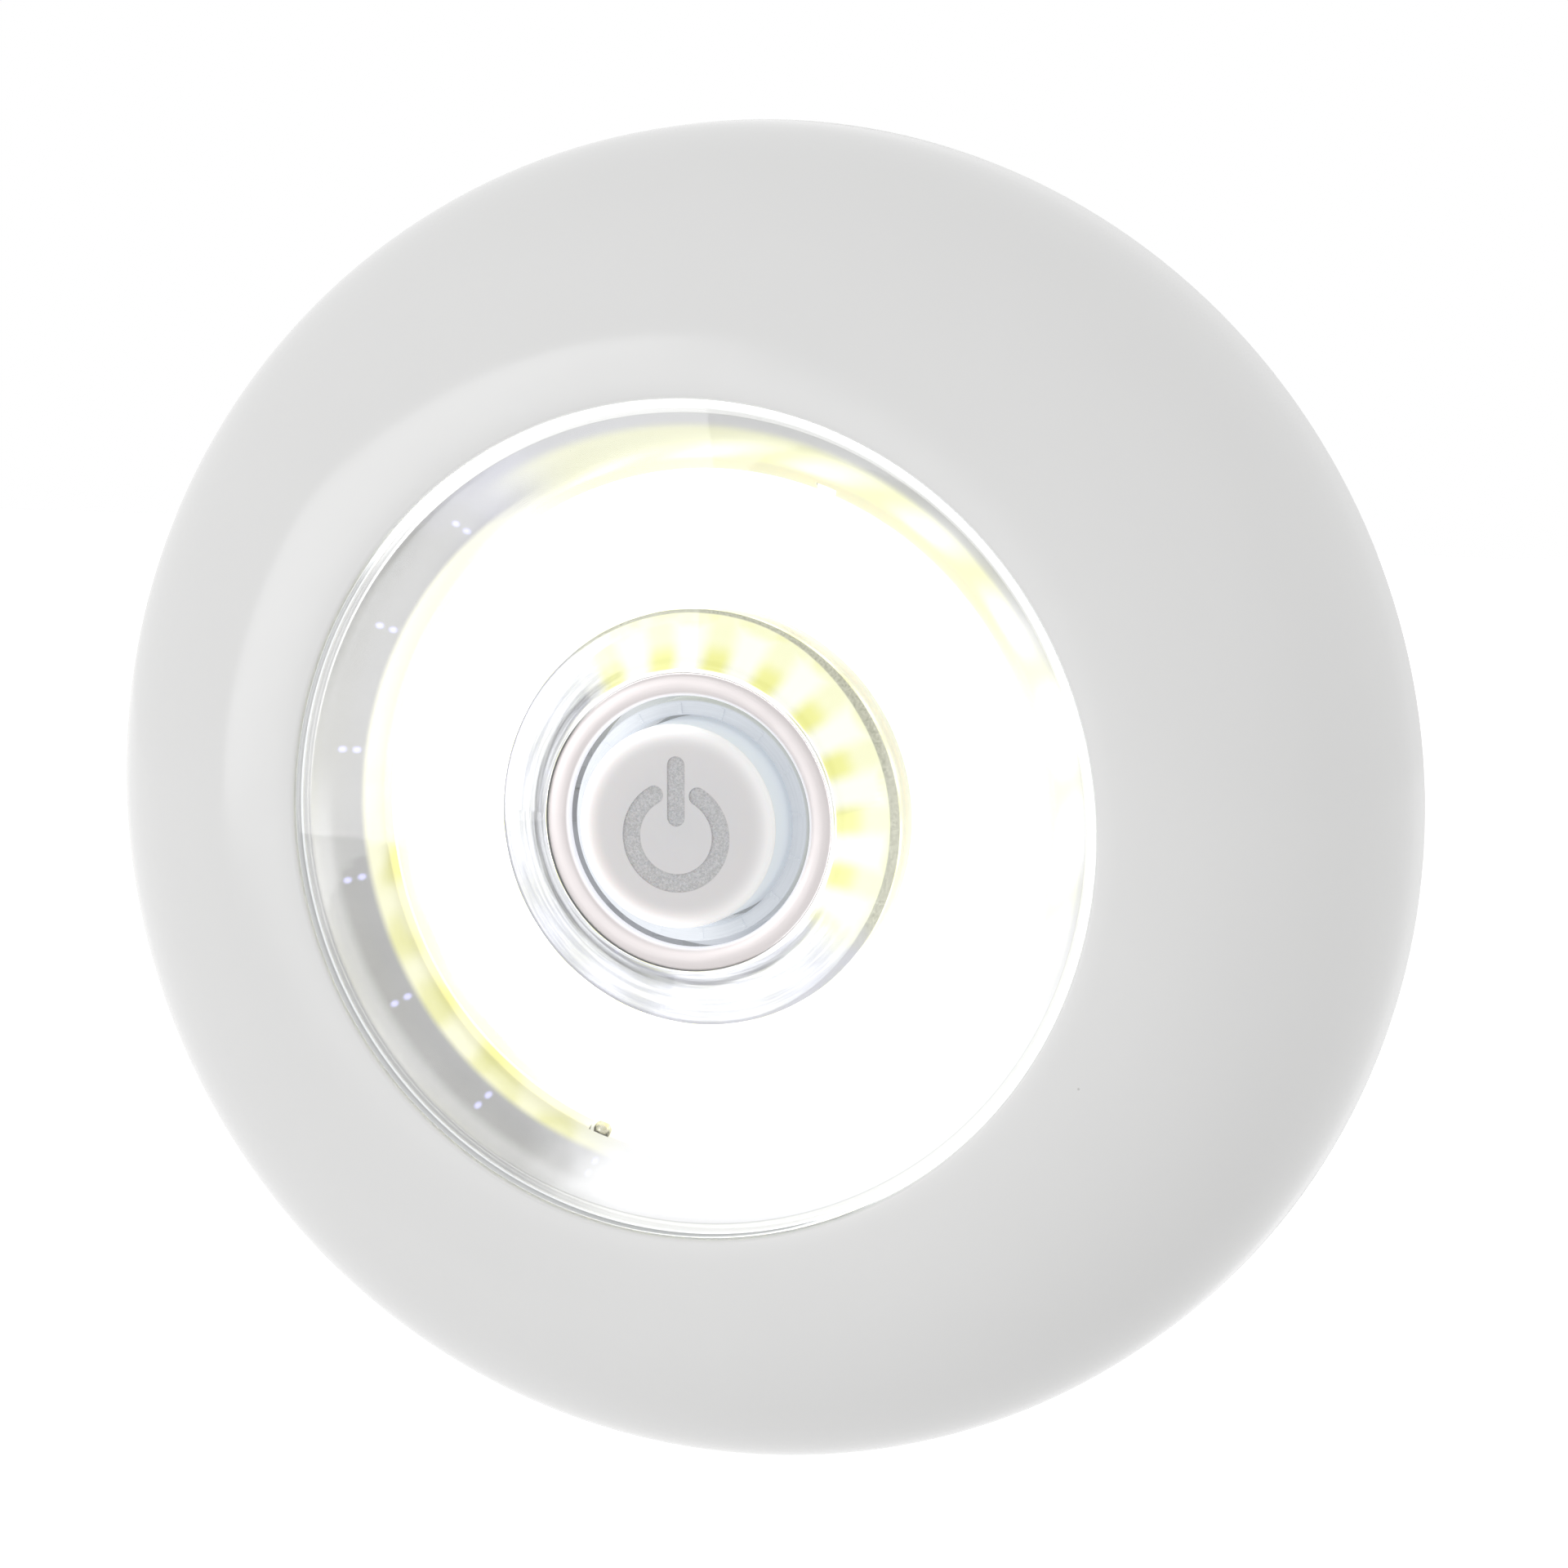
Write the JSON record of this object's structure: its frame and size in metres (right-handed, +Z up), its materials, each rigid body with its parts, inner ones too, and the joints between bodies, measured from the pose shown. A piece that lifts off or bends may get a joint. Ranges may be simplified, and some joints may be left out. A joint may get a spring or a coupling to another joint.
{
  "type": "puck light",
  "caption": "Round battery puck light with a domed white cover, a clear lens over a chromed reflector and ring of light, a centre push button and a twist-off wall base.",
  "frame": {"origin": "centre of the wall base's flat back face, which lies on the wall plane y = 0", "axes": "-Y from the wall into the room along the lamp's axis, +Z up as it hangs, +X to the right as seen from the room"},
  "size_m": [0.085, 0.0228, 0.085],
  "materials": {
    "white_gloss": "glossy",
    "base_plastic": "satin",
    "chassis_plastic": "satin",
    "button_plastic": "satin",
    "plunger_plastic": "satin",
    "black_plastic": "matt",
    "clear_plastic": "polished",
    "chromed_plastic": "mirror",
    "nickel_steel": "nickel plated",
    "zinc_screw": "zinc plated",
    "foam": "foam",
    "cell_wrap": "plastic sleeve",
    "board_white": "white solder resist on aluminium",
    "board_green": "green solder resist",
    "phosphor": "phosphor gel",
    "silicone": "silicone",
    "solder": "solder",
    "lead_red": "pvc",
    "lead_black": "pvc"
  },
  "bodies": {
    "wall_base": {"back_cover": "base_plastic", "adhesive_pad_upper": "foam", "adhesive_pad_lower": "foam"},
    "lamp": {"housing": "white_gloss", "lens": "clear_plastic", "reflector": "chromed_plastic", "reflector_hub": "chromed_plastic", "led_board": "board_white", "phosphor_ring": "phosphor", "inner_dam": "silicone", "outer_dam": "silicone", "solder_joint_1": "solder", "solder_joint_2": "solder", "chassis": "chassis_plastic", "cell_1": "cell_wrap", "cell_2": "cell_wrap", "cell_3": "cell_wrap", "cell_spring_1": "nickel_steel", "cell_spring_2": "nickel_steel", "cell_spring_3": "nickel_steel", "positive_plate": "nickel_steel", "upper_link": "nickel_steel", "lower_link": "nickel_steel", "negative_plate": "nickel_steel", "switch_board": "board_green", "switch_body": "black_plastic", "resistor": "black_plastic", "button_guide": "clear_plastic", "chassis_screw_1": "zinc_screw", "chassis_screw_2": "zinc_screw", "chassis_screw_3": "zinc_screw", "chassis_screw_4": "zinc_screw", "light_lead_positive": "lead_red", "supply_lead_positive": "lead_red", "light_lead_negative": "lead_black", "supply_lead_negative": "lead_black"},
    "button": {"button_cap": "button_plastic", "switch_plunger": "plunger_plastic", "button_spring": "nickel_steel"}
  },
  "joints": [
    {"name": "lamp_twist", "type": "hinge", "parent": "wall_base", "child": "lamp", "pos_m": [0, 0, 0], "axis": [0, -1, 0], "range_deg": [0, 24]},
    {"name": "button_press", "type": "slide", "parent": "lamp", "child": "button", "axis": [0, 1, 0], "range_m": [0, 0.0015], "stiffness_N_per_m": 600, "springref_m": -0.001, "deforming": ["button_spring"]}
  ]
}
